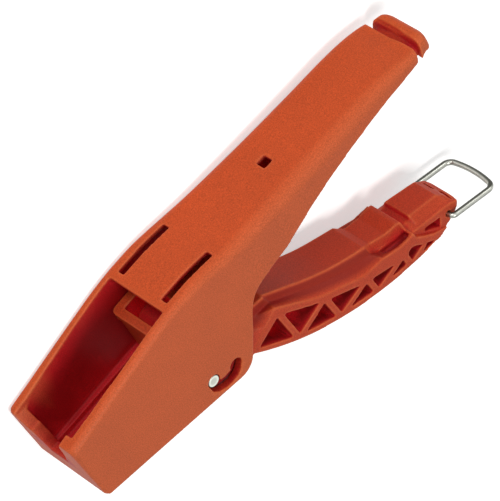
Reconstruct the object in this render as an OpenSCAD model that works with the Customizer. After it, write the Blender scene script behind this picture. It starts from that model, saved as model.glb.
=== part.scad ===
// Hand clamp press: a moulded housing that is also the upper handle, a lever that
// swings on a steel pin and drives a sliding jaw, an extension spring that opens it,
// and a wire bail on the lever's end that hooks over the housing's tip and locks it.
//
// The tool lies on its flat far side. X points to the jaw end, Y to the lever's side,
// Z up across the tool's width. Profiles are drawn from the pivot pin's axis.

/* [Housing] */
// Width across the two flat sides
body_w = 41; // [40:0.5:43]
// Thickness of the side walls
wall = 4.2; // [3.6:0.1:4.4]
// Thickness of the top panel and the handle's roof
roof = 2.6; // [2:0.1:3]
// Thickness of the front end wall
front_wall = 5.6; // [4:0.1:7]
// Where the window begins behind the jaw's parking place, forward of the pivot
window_back = -0.4; // [-2:0.1:1]
// Narrowing of the channel on each side at the front end wall
front_taper = 0.9; // [0:0.1:1.2]
// Length of the two slots through the panel
panel_slot_l = 28; // [24:1:28]
// Width of the two slots through the panel
panel_slot_w = 3.7; // [3:0.1:4]
// Side of the square hole through the handle's roof
square_hole = 5.1; // [4:0.1:6]

/* [Pin and its pockets] */
// Diameter of the steel pin
pin_d = 6; // [5:0.1:6.2]
// Play of the pin in the housing's slot, on the radius
slot_play = 0.3; // [0.1:0.05:0.4]
// Rear pocket, back from the front pocket
pocket_step = 12.1; // [10:0.1:12.5]
// Rear pocket, towards the lever's side
pocket_drop = 3.9; // [3:0.1:4.5]

/* [Jaw] */
// Length of the jaw along its travel
jaw_l = 22.5; // [20:0.5:22.5]
// Wall of the jaw's frame
jaw_wall = 4.3; // [3:0.1:4.5]
// Play between the jaw and the channel's sides
jaw_play = 0.5; // [0.4:0.1:1]
// How far the frame's front lip stands past the plate below it
jaw_lip = 1.2; // [0.5:0.1:1.5]

/* [Lever] */
// Width at the pivot end
lever_w = 31.4; // [30:0.2:31.6]
// Width at the free end
lever_end_w = 23; // [22:0.5:23.4]
// Width of the raised web along the top
web_w = 20; // [18:0.5:20]
// Width of the core and its finger inside the housing
core_w = 22; // [20:0.5:22]
// Distance from the pivot to the middle of the finger's round tip
finger_reach = 23; // [22:0.5:23]
// Thickness of the truss ribs
rib_t = 3.2; // [2.4:0.1:3.6]
// Thickness of the plate left between the truss pockets
truss_plate = 7; // [5:0.5:9]

/* [Bail] */
// Diameter of the wire
wire_d = 2.8; // [2.4:0.1:2.8]
// Reach from the hinge to the middle of the crown
bail_reach = 27.8; // [27.6:0.1:28]
// Distance between the middles of the legs
bail_w = 27.2; // [27:0.1:27.6]

/* [Spring] */
// Diameter of the spring's wire
spring_wire = 1; // [0.8:0.05:1]
// Middle diameter of the coil
coil_d = 6.5; // [6:0.1:6.5]
// Turns in the coil
coil_turns = 13; // [10:1:15]

/* [Hidden] */

$fn = 48;
eps = 0.01;
plastic = "#c8501e";
steel = "silver";

// Pivot axis, measured from the middle of the tool's outline
pivot = [49.8, -10.1];
mid = body_w / 2;
pin_r = pin_d / 2;
slot_r = pin_r + slot_play;

// Housing: distance along X, height of the top surface, narrowing of each side, edge radius
body_stations = [
    [  67.4, -41.6, 1.8, 3.0],
    [  66.9, -41.7, 0.9, 3.0],
    [  66.0, -41.9, 0.2, 3.0],
    [  65.0, -42.1, 0.0, 3.0],
    [  55.0, -43.9, 0.0, 3.0],
    [  40.0, -46.8, 0.0, 3.0],
    [  20.0, -50.5, 0.0, 3.0],
    [   5.0, -53.0, 0.0, 3.2],
    [  -5.0, -53.8, 0.0, 3.4],
    [ -15.0, -53.9, 0.0, 3.8],
    [ -25.0, -53.0, 0.0, 4.4],
    [ -35.0, -51.5, 0.0, 5.0],
    [ -45.0, -50.2, 0.2, 5.6],
    [ -60.0, -49.0, 0.6, 6.2],
    [ -85.0, -47.4, 1.4, 6.6],
    [-110.0, -46.0, 2.1, 6.4],
    [-130.0, -44.9, 2.7, 5.6],
    [-140.0, -43.7, 3.0, 5.0],
    [-148.0, -41.9, 3.3, 4.2],
    [-153.5, -40.2, 3.8, 3.4],
    [-157.0, -39.6, 4.6, 3.4],
    [-159.5, -39.6, 5.6, 4.0],
    [-162.0, -39.8, 6.6, 4.6],
    [-164.6, -39.4, 7.2, 4.6],
    [-166.0, -38.4, 8.4, 4.2],
    [-167.0, -37.0, 10.6, 3.0]
];
front_x = body_stations[0][0];
tip_x = body_stations[len(body_stations) - 1][0];
inner_front_x = front_x - front_wall;
loft_low = 30;
taper_from = 25;
// Lower edge of the side walls: a straight run, a round corner and the handle's underside
bottom_front = [66.3, -3.8];
bottom_slope = atan(0.2214);
corner_r = 9;
corner_c = [-12.8, 4.5];
rear_slope = 62;
underside = [
    [-26.9, -2.8], [-31.5, -12.4], [-34.3, -16.6], [-38.0, -19.6], [-42.6, -21.1],
    [-50.0, -22.1], [-60.2, -23.0], [-71.3, -25.8], [-82.9, -28.5], [-94.8, -30.6],
    [-107.1, -32.2], [-119.9, -33.4], [-132.7, -34.2], [-146.4, -34.3], [-153.7, -33.9],
    [-156.4, -33.4], [-157.6, -31.8], [-162.6, -31.4], [-164.7, -30.4], [-166.2, -31.4]
];
cavity_end = -147;
square_hole_x = -79;
// Front end of the panel's slots, and their distance from the sides
slot_front_x = -4.2;
slot_edge = 5.5;
// Channel between the pin's two pockets, with its ends inside them
pin_channel = [
    [-3.0, 0.6], [-2.4, 2.6], [-5.0, 3.4], [-9.4, 3.4], [-pocket_step, pocket_drop],
    [0.4 - pocket_step - slot_r, pocket_drop + 1.2], [-13.4, 8.0], [-10.4, 10.3], [-6.6, 10.6],
    [-3.2, 9.9], [0.2, 8.1], [2.8, 5.0], [3.1, 0.6], [0, 0]
];
// The side walls get thinner towards the handle
handle_wall = 3.2;
thinner_from = -20;
thinner_over = 30;
cavity_r = 1;
// Groove that takes the bail's crown, in front of the tip's lip
groove_c = [-159.5, -39.9];
groove_r = 2.7;
// Notch in the front end wall, as Z and Y
notch = [
    [4.9, -60], [4.9, -39.8], [9.7, -31.4], [12.5, -26.3], [14.6, -19.7],
    [25.5, -19.7], [31.0, -38.6], [32.4, -40.6], [32.4, -60]
];
// Guide ribs inside the channel
rib_h = 3;
low_rib_y = -10.4;
low_rib_back = -8;
low_rib_out = 3;
high_rib_y = -39.1;
high_rib_back = -32;
high_rib_l = 28;
high_rib_out = 3.6;
// Floor of the channel in front of the jaw, below the low ribs
bed_back = 20;
bed_t = 2.2;
// Plate between the handle's walls under the square hole, and its stud for the spring
anchor_x = [-86, -71];
anchor_y = [-32, -29.5];
post_x = -73.5;
neck_r = 1.3;
hook_r = 2.4;
coil_front = -39.5;
coil_back = -63;
spring_y = -26;

// Jaw
jaw_front = 8.2;
jaw_top = -38.5;
jaw_low = low_rib_y - 0.3;
jaw_deck = 4.5;
jaw_half = mid - wall - jaw_play;
jaw_bevel = 3.4;
jaw_hole_l = 14.2;
jaw_rear_low = -17.5;
stud_x = -17.6;
stud_r = 1.4;
arm_w = 2.4;
// Two runners behind the jaw, one at each side of the spring
runner_end = -40;
runner_in = 1;
runner_w = 9.8;

// Lever
hub_r = 6.9;
// Middle of the lever between its hub and its web
core_shape = [
    [-8.0, -8.0], [-41.5, -0.8], [-46.0, 20.0], [-46.0, 33.0], [-22.6, 15.8], [-13.0, 9.0]
];
// Full-width shoulder between the hub and the lever's side faces
shoulder = [
    [-6.8, -0.6], [-15.5, -3.2], [-19.5, 2.0], [-22.5, 14.0], [-22.5, 15.6],
    [-14.0, 15.2], [-6.0, 14.4], [0.0, 11.4], [3.4, 9.8], [5.6, 4.0]
];
drive_fit = 0.01;
finger_lean = 8;
finger_tip_r = 6.8;
finger_neck = 9.2;
lever_arc_c = [-144.3, -99.5];
lever_arc_r = 167.1;
// Lever: distance along X, top of the side faces, top of the web, narrowing of both
lever_stations = [
    [ -22.0, 14.2, -5.0, 0.0, 0.0],
    [ -34.0,  8.6, -2.4, 0.0, 0.0],
    [ -42.0,  4.9, -0.7, 0.0, 0.0],
    [ -52.0, 14.8,  7.2, 0.1, 0.0],
    [ -62.0, 24.8, 15.2, 0.3, 0.0],
    [ -74.0, 33.2, 23.4, 0.5, 0.0],
    [ -86.0, 40.8, 29.8, 0.7, 0.0],
    [ -93.5, 42.5, 33.4, 0.8, 0.2],
    [ -97.0, 43.2, 37.2, 0.9, 2.2],
    [-106.0, 47.6, 41.0, 1.1, 1.6],
    [-112.6, 48.6, 41.8, 1.2, 0.8],
    [-114.7, 48.5, 43.0, 1.3, 0.8],
    [-115.1, 48.4, 47.0, 1.3, 1.0],
    [-115.5, 52.4, 51.5, 1.3, 1.0],
    [-119.7, 57.3, 56.8, 1.5, 1.0],
    [-124.3, 62.0, 61.5, 2.0, 1.2],
    [-129.4, 66.4, 65.9, 3.3, 1.4],
    [-135.0, 71.0, 70.5, 4.4, 1.4]
];
end_stations = [
    [-114.8, 51.2, 48.4, 0.0, 2.6],
    [-119.4, 52.7, 49.0, 0.0, 2.6],
    [-120.2, 53.0, 46.9, 0.0, 2.6],
    [-133.0, 57.4, 51.6, 0.4, 3.0],
    [-137.0, 58.8, 53.2, 0.5, 3.2],
    [-139.6, 60.2, 56.4, 0.6, 3.4],
    [-141.8, 62.0, 60.4, 0.8, 3.8],
    [-144.0, 63.6, 62.8, 1.6, 5.2]
];
web_step = 2.5;
web_edge = 0.4;
end_slope = 3.2;
// End of the lever's outline, from the bottom curve to the top
lever_end = [
    [-126.5, 68.3], [-130.5, 68.9], [-134.8, 68.6], [-139.5, 66.8],
    [-142.4, 65.0], [-143.8, 62.8], [-143.8, 40.0]
];
// Ends of the truss ribs along the upper edge, then their X along the lower edge
truss_top = [[-42.0, 8.6], [-63.8, 28.8], [-85.3, 44.1], [-106.0, 54.0]];
truss_low_x = [-23.3, -44.0, -65.5, -86.6, -106.5];
// The odd pockets near the lever's end
round_pocket = [
    [-108.1, 56.9], [-108.9, 55.2], [-111.0, 54.7],
    [-113.3, 56.2], [-116.4, 59.8], [-108.5, 61.5]
];
sliver_pocket = [[-114.4, 63.4], [-118.9, 61.8], [-122.4, 65.0], [-120.6, 65.6]];
end_pocket = [[-122.4, 57.1], [-131.6, 60.8], [-129.4, 65.6], [-121.9, 58.6]];
hinge = [-136.0, 64.0];
hinge_w = 12;
hinge_deep = 6;
hinge_play = 0.07;

// Bail, with the swing of the lever and of the bail when its crown lies in the groove
bail_lean = 19.5;
lever_closed = 29.96;
bail_closed = 59.5;
seat_play = 0.35;
seat_from = 10;
wire_r = wire_d / 2;
wire_sides = 12;
// The stubs turn in round holes, and stay inside the wire's flats where they meet it
stub_r = wire_r * cos(180 / wire_sides) - 0.01;
stub_in = 9.4;
stub_bend = 1.8;
crown_r = 45;
crown_corner = 4.2;

function arc(c, r, a0, a1, n) =
    [for (i = [0:n]) let(a = a0 + (a1 - a0) * i / n) c + r * [cos(a), sin(a)]];
function below(x) = lever_arc_c[1] + sqrt(pow(lever_arc_r, 2) - pow(x - lever_arc_c[0], 2));
function side_len(a, b) = norm(a - b);

// A triangle with every side moved inwards by d
function inset(t, d) =
    let(a = side_len(t[1], t[2]), b = side_len(t[2], t[0]), c = side_len(t[0], t[1]))
    let(centre = (a * t[0] + b * t[1] + c * t[2]) / (a + b + c))
    let(area = abs(cross(t[1] - t[0], t[2] - t[0])) / 2)
    let(k = 1 - d * (a + b + c) / (2 * area))
    [for (p = t) centre + k * (p - centre)];

// The two triangles between corners a and b of one ring and the same corners of the next
function strip(a, b, n) = [[b, a, a + n], [b, a + n, b + n]];

// A closed solid through rings of points that all have the same count
module skin_rings(rings) {
    n = len(rings[0]);
    m = len(rings);
    polyhedron(
        points = [for (r = rings) each r],
        faces = concat(
            [[for (i = [0:n - 1]) i]],
            [for (j = [0:m - 2], i = [0:n - 1]) each strip(j * n + i, j * n + (i + 1) % n, n)],
            [[for (i = [n - 1:-1:0]) (m - 1) * n + i]]
        ));
}

// Everything is drawn from the pivot axis and set in place here
module placed() {
    translate([pivot[0], pivot[1], 0]) children();
}

// A flat outline in X and Y, extruded across the width from z0 to z1
module across(z0, z1) {
    translate([0, 0, z0]) linear_extrude(z1 - z0) children();
}

// ---- housing ----

// Half of the ring at one station: down the far side, over the top, down the near side
function body_ring(s, inset_w, inset_top, r) =
    let(h = mid - s[2] - inset_w, top = s[1] + inset_top)
    let(flat = concat(
        [[loft_low, mid - h]],
        [for (p = arc([top + r, mid - h + r], r, 270, 180, 6)) [p[0], p[1]]],
        [for (p = arc([top + r, mid + h - r], r, 180, 90, 6)) [p[0], p[1]]],
        [[loft_low, mid + h]]))
    [for (p = flat) [s[0], p[0], p[1]]];

module body_loft() {
    skin_rings([for (s = body_stations) body_ring(s, 0, 0, s[3])]);
}

// The station at any X, between the two that stand around it
function station_at(x) =
    let(behind = [for (s = body_stations) if (s[0] < x) s])
    let(b = behind[0], a = body_stations[len(body_stations) - len(behind) - 1])
    let(t = (x - a[0]) / (b[0] - a[0]))
    a + t * (b - a);

module cavity_loft() {
    inner = concat(
        [station_at(inner_front_x)],
        [for (s = body_stations) if (s[0] < inner_front_x - 1 && s[0] > cavity_end + 1) s],
        [station_at(cavity_end)]);
    skin_rings([for (s = inner)
        let(front = max(0, s[0] - taper_from) / (inner_front_x - taper_from))
        let(back = min(1, max(0, thinner_from - s[0]) / thinner_over))
        body_ring(s, wall + front * front_taper - back * (wall - handle_wall), roof, cavity_r)]);
}

module side_outline() {
    polygon(concat(
        [[front_x, -60], [front_x, -41.6], bottom_front + [0.1, -2.4], bottom_front + [-1.6, 0.3]],
        arc(corner_c, corner_r, 90 - bottom_slope, 90 + rear_slope, 6),
        underside,
        [[tip_x - 1, -34.5], [tip_x - 1, -60]]));
}

module pin_slot_outline() {
    polygon(pin_channel);
    for (c = [[0, 0], [-pocket_step, pocket_drop]]) translate(c) circle(slot_r);
}

// Window over the jaw's travel, as wide as the channel
module window() {
    near = body_w - wall;
    far = wall;
    translate([0, -30, 0]) rotate([90, 0, 0]) linear_extrude(50)
        polygon([
            [window_back, far], [taper_from, far], [inner_front_x, far + front_taper],
            [inner_front_x, near - front_taper], [taper_from, near], [window_back, near]
        ]);
}

module panel_slots() {
    x = slot_front_x - panel_slot_l / 2;
    z = mid - slot_edge - panel_slot_w / 2;
    for (s = [-1, 1])
        translate([x, -50, mid + s * z]) cube([panel_slot_l, 20, panel_slot_w], center = true);
}

module guide_ribs() {
    low_l = inner_front_x - low_rib_back + 1;
    for (s = [0, 1]) translate([0, 0, s * body_w]) mirror([0, 0, s]) {
        translate([low_rib_back, low_rib_y, wall - 1]) cube([low_l, rib_h, low_rib_out + 1]);
        translate([high_rib_back, high_rib_y - rib_h, wall - 1])
            cube([high_rib_l, rib_h, high_rib_out + 1]);
    }
}

// The stud has a head that keeps the spring's hook on it
module channel_bed() {
    translate([bed_back, low_rib_y + rib_h - eps, wall - 1])
        cube([inner_front_x - bed_back + 1, bed_t, body_w - 2 * wall + 2]);
}

module spring_anchor() {
    head_y = spring_y + 1.8;
    translate([anchor_x[0], anchor_y[0], wall - 1])
        cube([anchor_x[1] - anchor_x[0], anchor_y[1] - anchor_y[0], body_w - 2 * wall + 2]);
    translate([post_x, anchor_y[1] - 1, mid]) rotate([-90, 0, 0])
        cylinder(r = neck_r, h = head_y - anchor_y[1] + 1 + eps);
    translate([post_x, head_y, mid]) rotate([-90, 0, 0]) cylinder(r = neck_r + 0.7, h = 1.2);
}

module front_notch() {
    translate([inner_front_x - 1, 0, 0]) rotate([0, 90, 0])
        linear_extrude(front_wall + 4) polygon([for (p = notch) [-p[0], p[1]]]);
}

module housing() {
    color(plastic) placed() {
        difference() {
            union() {
                difference() {
                    intersection() {
                        body_loft();
                        across(-1, body_w + 1) side_outline();
                    }
                    cavity_loft();
                    window();
                }
                guide_ribs();
                channel_bed();
                spring_anchor();
            }
            panel_slots();
            across(-1, body_w + 1) pin_slot_outline();
            translate([square_hole_x, -45, mid]) cube([square_hole, 20, square_hole], center = true);
            translate([groove_c[0], groove_c[1], -1]) cylinder(r = groove_r, h = body_w + 2);
            bail_seat();
            front_notch();
        }
    }
}

// ---- lever ----

// Ring at one station: side face, flange, step up to the web, and the same on the other side
function lever_ring(s, half, edge) =
    let(shelf = min(s[1] - 0.4, s[2] + web_step + edge), h = half - s[3], w = web_w / 2 - s[4])
    let(far = [[90, -h], [s[1], -h], [shelf, -w - edge], [s[2], -w]])
    let(near = [[s[2], w], [shelf, w + edge], [s[1], h], [90, h]])
    [for (p = concat(far, near)) [s[0], p[0], mid + p[1]]];

module lever_outline() {
    polygon(concat(
        [[-22, -20], [-22, 15.6]],
        [for (i = [0:11]) let(x = -23 - i * 9) [x, below(x)]],
        lever_end,
        [[lever_end[len(lever_end) - 1][0], -20]]));
}

module truss_pockets() {
    low = [for (x = truss_low_x) [x, below(x) - 0.8]];
    tris = concat(
        [[truss_top[0], low[1], low[0]]],
        [for (i = [0:2]) [truss_top[i], truss_top[i + 1], low[i + 1]]],
        [for (i = [0:2]) [truss_top[i + 1], low[i + 2], low[i + 1]]]);
    for (t = tris) polygon(inset(t, rib_t / 2));
    polygon(round_pocket);
    polygon(sliver_pocket);
    polygon(end_pocket);
}

module core_outline() {
    polygon(concat([[0, -hub_r]], core_shape, [[-2, hub_r - 0.3]]));
    circle(hub_r);
    rotate(-finger_lean) {
        translate([-finger_neck / 2, -finger_reach]) square([finger_neck, finger_reach]);
        translate([0, -finger_reach]) circle(finger_tip_r);
    }
}

module lever() {
    hub_half = lever_w / 2;
    color(plastic) placed() difference() {
        union() {
            intersection() {
                union() {
                    skin_rings([for (s = lever_stations) lever_ring(s, lever_w / 2, web_edge)]);
                    skin_rings([for (s = end_stations) lever_ring(s, lever_end_w / 2, end_slope)]);
                }
                across(-1, body_w + 1) lever_outline();
            }
            across(mid - core_w / 2, mid + core_w / 2) core_outline();
            across(mid - hub_half, mid + hub_half) {
                circle(hub_r);
                polygon(shoulder);
            }
        }
        across(mid + truss_plate / 2, body_w) truss_pockets();
        across(0, mid - truss_plate / 2) truss_pockets();
        across(-1, body_w + 1) circle(pin_r - drive_fit);
        for (s = [-1, 1])
            translate([hinge[0], hinge[1], mid + s * hinge_w])
                cylinder(r = stub_r + hinge_play, h = hinge_deep, center = true);
    }
}

// ---- jaw ----

// A flat-topped frame and plate, open through the middle, with runners, an arm and a stud for the spring
module sliding_jaw() {
    inner = jaw_half - jaw_wall;
    back = jaw_front - jaw_l;
    deep = jaw_low - jaw_top;
    color(plastic) placed() difference() {
        union() {
            translate([back, jaw_top, mid - jaw_half]) cube([jaw_l, jaw_deck, 2 * jaw_half]);
            translate([back, jaw_top, mid - jaw_half]) cube([jaw_l - jaw_lip, deep, 2 * jaw_half]);
            translate([stud_x - arm_w, spring_y + 2, mid - arm_w])
                cube([back - stud_x + 4, 2.4, 2 * arm_w]);
            translate([stud_x, spring_y - 2, mid]) rotate([-90, 0, 0]) cylinder(r = stud_r, h = 4.5);
            for (z = [mid - jaw_half + runner_in, mid + jaw_half - runner_in - runner_w])
                translate([runner_end, spring_y + 2, z]) cube([back - runner_end + 1, arm_w, runner_w]);
        }
        translate([jaw_front - jaw_wall - jaw_hole_l, jaw_top - 1, mid - inner])
            cube([jaw_hole_l, deep + 2, 2 * inner]);
        translate([back - 10, jaw_rear_low, mid - inner]) cube([20, 20, 2 * inner]);
        for (z = [mid - jaw_half, mid + jaw_half])
            translate([jaw_front, 0, z]) rotate([-90, 0, 0]) rotate(45)
                cube([jaw_bevel, jaw_bevel, 200], center = true);
    }
}

// ---- pin ----

module pivot_pin() {
    bevel = 0.4;
    color(steel) placed() translate([0, 0, bevel]) {
        cylinder(r1 = pin_r - bevel, r2 = pin_r, h = bevel);
        translate([0, 0, bevel]) cylinder(r = pin_r, h = body_w - 3 * bevel);
        translate([0, 0, body_w - 2 * bevel]) cylinder(r1 = pin_r, r2 = pin_r - bevel, h = bevel);
    }
}

// ---- wire ----

// A round wire swept along a path of points
module wire(path, r, sides) {
    n = len(path);
    skin_rings([for (i = [0:n - 1])
        let(t = path[min(n - 1, i + 1)] - path[max(0, i - 1)])
        let(u = t / norm(t))
        let(v0 = abs(u[1]) > 0.9 ? [1, 0, 0] : [0, 1, 0])
        let(v = cross(u, v0) / norm(cross(u, v0)), w = cross(u, v))
        [for (j = [0:sides - 1]) let(a = j * 360 / sides) path[i] + r * (cos(a) * v + sin(a) * w)]]);
}

module return_spring() {
    r = coil_d / 2;
    last = coil_turns * 12;
    front_loop = [for (a = [220:40:500]) [stud_x + hook_r * cos(a), 0, hook_r * sin(a)]];
    coil = [for (i = [0:last])
        let(k = min(1, i / 6, (last - i) / 6), a = i * 30)
        [coil_front + (coil_back - coil_front) * i / last, k * r * cos(a), k * r * sin(a)]];
    back_loop = [for (a = [40:40:320]) [post_x + hook_r * cos(a), 0, hook_r * sin(a)]];
    path = concat(front_loop, [[coil_front + 2.4, 0, 0]], coil, [[coil_back - 2.4, 0, 0]], back_loop);
    color(steel) placed() translate([0, spring_y, mid]) wire(path, spring_wire / 2, 6);
}

// Middle line of the bail from the hinge, as reach and distance to the side
crown_u = bail_reach - crown_r;
leg_w = bail_w / 2;
stub_out = leg_w - 2.6;
corner_w = leg_w - crown_corner;
corner_u = crown_u + sqrt(pow(crown_r - crown_corner, 2) - pow(corner_w, 2));
open_a = atan2(corner_w, corner_u - crown_u);
stub_line = concat(
    [[0, stub_out], [0, stub_out + 0.5]],
    arc([stub_bend, leg_w - stub_bend], stub_bend, 165, 90, 4),
    [[0.5 * corner_u, leg_w]]);

// Half of the crown with its round corner, moved inwards by d
function half_crown(d) = concat(
    arc([corner_u, corner_w], crown_corner - d, 90, open_a, 5),
    arc([crown_u, 0], crown_r - d, open_a - 5, 5, 4));

// A half line from the leg, its tip on the middle, and the same line back on the other side
function both_sides(half, tip) =
    let(back = [for (i = [len(half) - 1:-1:0]) [half[i][0], -half[i][1]]])
    concat(half, [[tip, 0]], back);

// The bail's plane, with its own reach along X, at a swing from rest
module bail_plane(swing) {
    translate([hinge[0], hinge[1], mid]) rotate(180 - bail_lean + swing) children();
}

// Groove over the tip and down its sides, where the bail lies when the tool is locked
module bail_seat() {
    d = wire_r + seat_play;
    inside = both_sides(concat([[seat_from, leg_w - d]], half_crown(d)), bail_reach - d);
    around = [[seat_from, -body_w], [body_w, -body_w], [body_w, body_w], [seat_from, body_w]];
    rotate(lever_closed) bail_plane(bail_closed) rotate([90, 0, 0])
        linear_extrude(2 * d, center = true) polygon(concat(inside, around));
}

module bail() {
    line = both_sides(concat(stub_line, half_crown(0)), bail_reach);
    color(steel) placed() bail_plane(0) {
        wire([for (p = line) [p[0], 0, p[1]]], wire_r, wire_sides);
        for (s = [0, 1]) mirror([0, 0, s])
            translate([0, 0, stub_in]) cylinder(r = stub_r, h = stub_out - stub_in + 0.3);
    }
}

housing();
lever();
sliding_jaw();
pivot_pin();
return_spring();
bail();
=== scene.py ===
"""Looks of a lever-operated hand clamp: two mouldings, a sliding jaw, a pin, a spring and a wire bail."""

import math
from types import SimpleNamespace

import bmesh
import bpy
import numpy as np
from bpy.props import FloatProperty, FloatVectorProperty, IntProperty, PointerProperty
from mathutils import Matrix, Vector
from mathutils.bvhtree import BVHTree


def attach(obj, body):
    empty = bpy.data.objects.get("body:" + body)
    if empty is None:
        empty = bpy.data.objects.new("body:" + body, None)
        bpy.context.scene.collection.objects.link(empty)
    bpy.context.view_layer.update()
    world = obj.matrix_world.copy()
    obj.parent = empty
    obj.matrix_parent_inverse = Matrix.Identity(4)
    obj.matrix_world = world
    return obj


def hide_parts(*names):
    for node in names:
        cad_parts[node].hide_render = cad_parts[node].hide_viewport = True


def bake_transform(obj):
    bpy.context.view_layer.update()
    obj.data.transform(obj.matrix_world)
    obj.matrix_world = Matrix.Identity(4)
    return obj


bl_info = {
    "name": "Hand clamp",
    "version": (1, 0, 0),
    "blender": (4, 5, 0),
    "location": "View3D > Sidebar > Clamp",
    "description": "Builds the mouldings, wire and steel parts of a lever-operated hand clamp",
    "category": "Object",
}

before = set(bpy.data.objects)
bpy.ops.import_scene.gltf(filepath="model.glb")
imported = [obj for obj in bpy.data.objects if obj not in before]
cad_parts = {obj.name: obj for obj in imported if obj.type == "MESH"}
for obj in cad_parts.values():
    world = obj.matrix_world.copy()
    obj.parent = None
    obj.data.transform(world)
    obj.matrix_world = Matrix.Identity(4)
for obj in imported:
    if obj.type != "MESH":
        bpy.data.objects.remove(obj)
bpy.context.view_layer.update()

# Lengths are in millimetres from the pivot pin's axis until a piece is finished.
MM = 0.001
PIVOT = Vector((49.8, -10.1, 0.0))
WIDTH = 41.0
MID = WIDTH / 2
MAX_TRIANGLES = 185000
SMOOTH_PASSES = 4
EDGE_PASSES = 3
OCCLUSION_SHADE_PASSES = 6
RAY_START = 0.3

# ---- shapes that the settings leave as they are ----

# Housing: distance along X, height of the top, narrowing of each side, edge radius
BODY_STATIONS = [
    (67.4, -41.6, 1.8, 3.0),
    (66.9, -41.7, 0.9, 3.0),
    (66.0, -41.9, 0.2, 3.0),
    (65.0, -42.1, 0.0, 3.0),
    (55.0, -43.9, 0.0, 3.0),
    (40.0, -46.8, 0.0, 3.0),
    (20.0, -50.5, 0.0, 3.0),
    (5.0, -53.0, 0.0, 3.2),
    (-5.0, -53.8, 0.0, 3.4),
    (-15.0, -53.9, 0.0, 3.8),
    (-25.0, -53.0, 0.0, 4.4),
    (-35.0, -51.5, 0.0, 5.0),
    (-45.0, -50.2, 0.2, 5.6),
    (-60.0, -49.0, 0.6, 6.2),
    (-85.0, -47.4, 1.4, 6.6),
    (-110.0, -46.0, 2.1, 6.4),
    (-130.0, -44.9, 2.7, 5.6),
    (-140.0, -43.7, 3.0, 5.0),
    (-148.0, -41.9, 3.3, 4.2),
    (-153.5, -40.2, 3.8, 3.4),
    (-157.0, -39.6, 4.6, 3.4),
    (-159.5, -39.6, 5.6, 4.0),
    (-162.0, -39.8, 6.6, 4.6),
    (-164.6, -39.4, 7.2, 4.6),
    (-166.0, -38.4, 8.4, 4.2),
    (-167.0, -37.0, 10.6, 3.0),
]
UNDERSIDE = [
    (-26.9, -2.8), (-31.5, -12.4), (-34.3, -16.6), (-38.0, -19.6), (-42.6, -21.1),
    (-50.0, -22.1), (-60.2, -23.0), (-71.3, -25.8), (-82.9, -28.5), (-94.8, -30.6),
    (-107.1, -32.2), (-119.9, -33.4), (-132.7, -34.2), (-146.4, -34.3), (-153.7, -33.9),
    (-156.4, -33.4), (-157.6, -31.8), (-162.6, -31.4), (-164.7, -30.4), (-166.2, -31.4),
]
FRONT_X = 67.4
TIP_X = -167.0
FRONT_WALL = 5.6
INNER_FRONT_X = FRONT_X - FRONT_WALL
WINDOW_BACK = -0.4
CAVITY_END = -147.0
TAPER_FROM = 25.0
FRONT_TAPER = 0.9
HANDLE_WALL = 3.2
LOFT_LOW = 30.0
BOTTOM_FRONT = (66.3, -3.8)
BOTTOM_SLOPE = 12.487
REAR_SLOPE = 62.0
CORNER_C = (-12.8, 4.5)
CORNER_R = 9.0
NOTCH = [
    (4.9, -60.0), (4.9, -39.6), (9.0, -32.8), (10.5, -32.4), (13.0, -26.3), (14.6, -19.7),
    (25.5, -19.7), (31.0, -38.6), (32.4, -40.6), (32.4, -60.0),
]
PIN_CHANNEL = [
    (-3.0, 0.6), (-2.4, 2.6), (-5.0, 3.4), (-9.4, 3.4), (-12.1, 3.9),
    (-15.0, 5.1), (-13.4, 8.0), (-10.4, 10.3), (-6.6, 10.6),
    (-3.2, 9.9), (0.2, 8.1), (2.8, 5.0), (3.1, 0.6), (0.0, 0.0),
]
REAR_POCKET = (-12.1, 3.9)
# Groove across the tip, which fades towards the near side: distance across, height, radius
TIP_GROOVE = [
    (-1.0, -39.9, 2.7), (21.0, -39.9, 2.7), (27.0, -40.2, 2.0), (32.0, -40.8, 1.2), (36.0, -41.6, 0.5),
]
GROOVE_X = -159.5
# The volumes that cut right through the width, and through the top panel
ACROSS = (-1, WIDTH + 1)
ROOF_CUT = (-70, -40)
WINDOW_CUT = (-80, -30)
SLOT_INSET = 5.5
SLOT_END = -4.2
SQUARE_X = -79.0
PIN_PLAY = 0.3
LOW_RIB_Y = -10.4
HIGH_RIB_Y = -39.1
# Guide ribs on each wall: back end, front end, top, bottom, how far they stand out
RIBS = [
    (-8, INNER_FRONT_X + 1, LOW_RIB_Y, LOW_RIB_Y + 3, 3),
    (-32, -4, HIGH_RIB_Y - 3, HIGH_RIB_Y, 3.6),
]
# Boxes whose faces get painted shade: the front notch, and the walls of the pin's slot
NOTCH_FACES = ((INNER_FRONT_X + 0.2, -41.0, 5.2), (FRONT_X - 0.4, -18.0, 31.6))
SLOT_WALLS = ((-17, -4.5, 0.7), (4.5, 12, WIDTH - 0.7))
BED_BACK = 20.0
SPRING_Y = -26.0
POST_X = -73.5
POST_NECK_R = 1.3
POST_HEAD_R = 2.0
ANCHOR_X = (-86.0, -71.0)
ANCHOR_Y = (-32.0, -29.5)

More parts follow.
